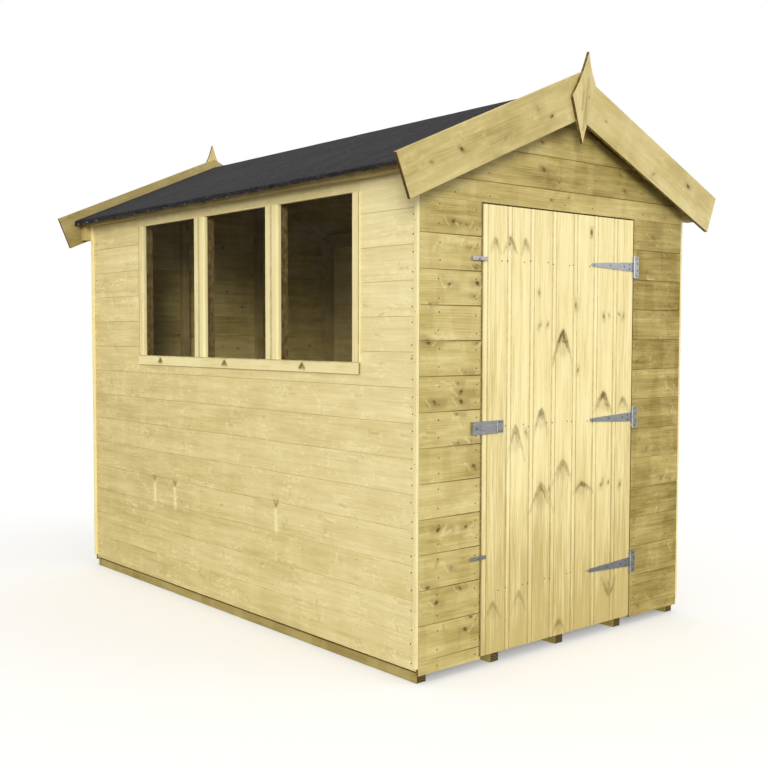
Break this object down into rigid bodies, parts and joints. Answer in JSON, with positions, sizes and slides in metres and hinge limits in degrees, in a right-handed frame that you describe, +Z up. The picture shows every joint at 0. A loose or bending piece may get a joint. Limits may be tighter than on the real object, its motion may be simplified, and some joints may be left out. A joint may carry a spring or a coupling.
{
  "type": "wooden garden shed",
  "caption": "Tongue-and-groove timber garden shed with a felted gable roof, a hinged boarded door with hasp and turn buttons, and side windows.",
  "frame": {"origin": "on the ground under the middle of the roof's outline, which is the middle of the shed", "axes": "+X to the right seen from the front, -Y out of the door gable, +Z up"},
  "size_m": [1.82, 2.552, 2.218],
  "materials": {
    "side_cladding": "planed pressure-treated softwood",
    "gable_cladding": "planed pressure-treated softwood",
    "door_timber": "planed pressure-treated softwood",
    "joinery_timber": "planed pressure-treated softwood",
    "barge_timber": "planed pressure-treated softwood",
    "frame_timber": "sawn softwood",
    "base_timber": "sawn pressure-treated softwood",
    "roof_felt": "mineral roofing felt",
    "zinc": "zinc plated steel",
    "glazing": "clear sheet"
  },
  "bodies": {
    "shed": {"barge_blocks": "barge_timber", "bearers": "base_timber", "corner_trims": "joinery_timber", "eaves_rail_left": "frame_timber", "eaves_rail_right": "frame_timber", "floor_deck": "base_timber", "front_barge_left": "barge_timber", "front_barge_right": "barge_timber", "front_cladding_gable": "gable_cladding", "front_cladding_left": "gable_cladding", "front_cladding_right": "gable_cladding", "front_finial": "barge_timber", "front_frame": "frame_timber", "hasp_staple": "zinc", "hinge_plates": "zinc", "left_cladding_front": "side_cladding", "left_cladding_lower": "side_cladding", "left_cladding_rear": "side_cladding", "left_cladding_upper": "side_cladding", "left_frame": "frame_timber", "purlins": "frame_timber", "rear_barge_left": "barge_timber", "rear_barge_right": "barge_timber", "rear_cladding": "gable_cladding", "rear_finial": "barge_timber", "rear_frame": "frame_timber", "ridge_beam": "frame_timber", "right_cladding": "side_cladding", "right_frame": "frame_timber", "roof_boards_left": "frame_timber", "roof_boards_right": "frame_timber", "roof_felt_left": "roof_felt", "roof_felt_right": "roof_felt", "window_frame_1": "joinery_timber", "window_frame_2": "joinery_timber", "window_frame_3": "joinery_timber", "window_pane_1": "glazing", "window_pane_2": "glazing", "window_pane_3": "glazing"},
    "door": {"door_boards": "door_timber", "door_ledges": "door_timber", "door_braces": "door_timber", "hinge_straps": "zinc", "hasp_leaf": "zinc"},
    "hasp": {"hasp_strap": "zinc"},
    "turn_button_lower": {"turn_button_lower": "zinc"},
    "turn_button_upper": {"turn_button_upper": "zinc"}
  },
  "joints": [
    {"name": "door_hinge", "type": "hinge", "parent": "shed", "child": "door", "pos_m": [0.4205, -1.2055, 0.848], "axis": [0, 0, 1], "range_deg": [0, 165]},
    {"name": "hasp_hinge", "type": "hinge", "parent": "door", "child": "hasp", "pos_m": [-0.374, -1.2045, 0.852], "axis": [0, 0, 1], "range_deg": [0, 165]},
    {"name": "turn_button_lower_pivot", "type": "hinge", "parent": "shed", "child": "turn_button_lower", "pos_m": [-0.47, -1.206, 0.394], "axis": [0, 1, 0], "range_deg": [0, 90]},
    {"name": "turn_button_upper_pivot", "type": "hinge", "parent": "shed", "child": "turn_button_upper", "pos_m": [-0.47, -1.206, 1.442], "axis": [0, 1, 0], "range_deg": [0, 90]}
  ]
}
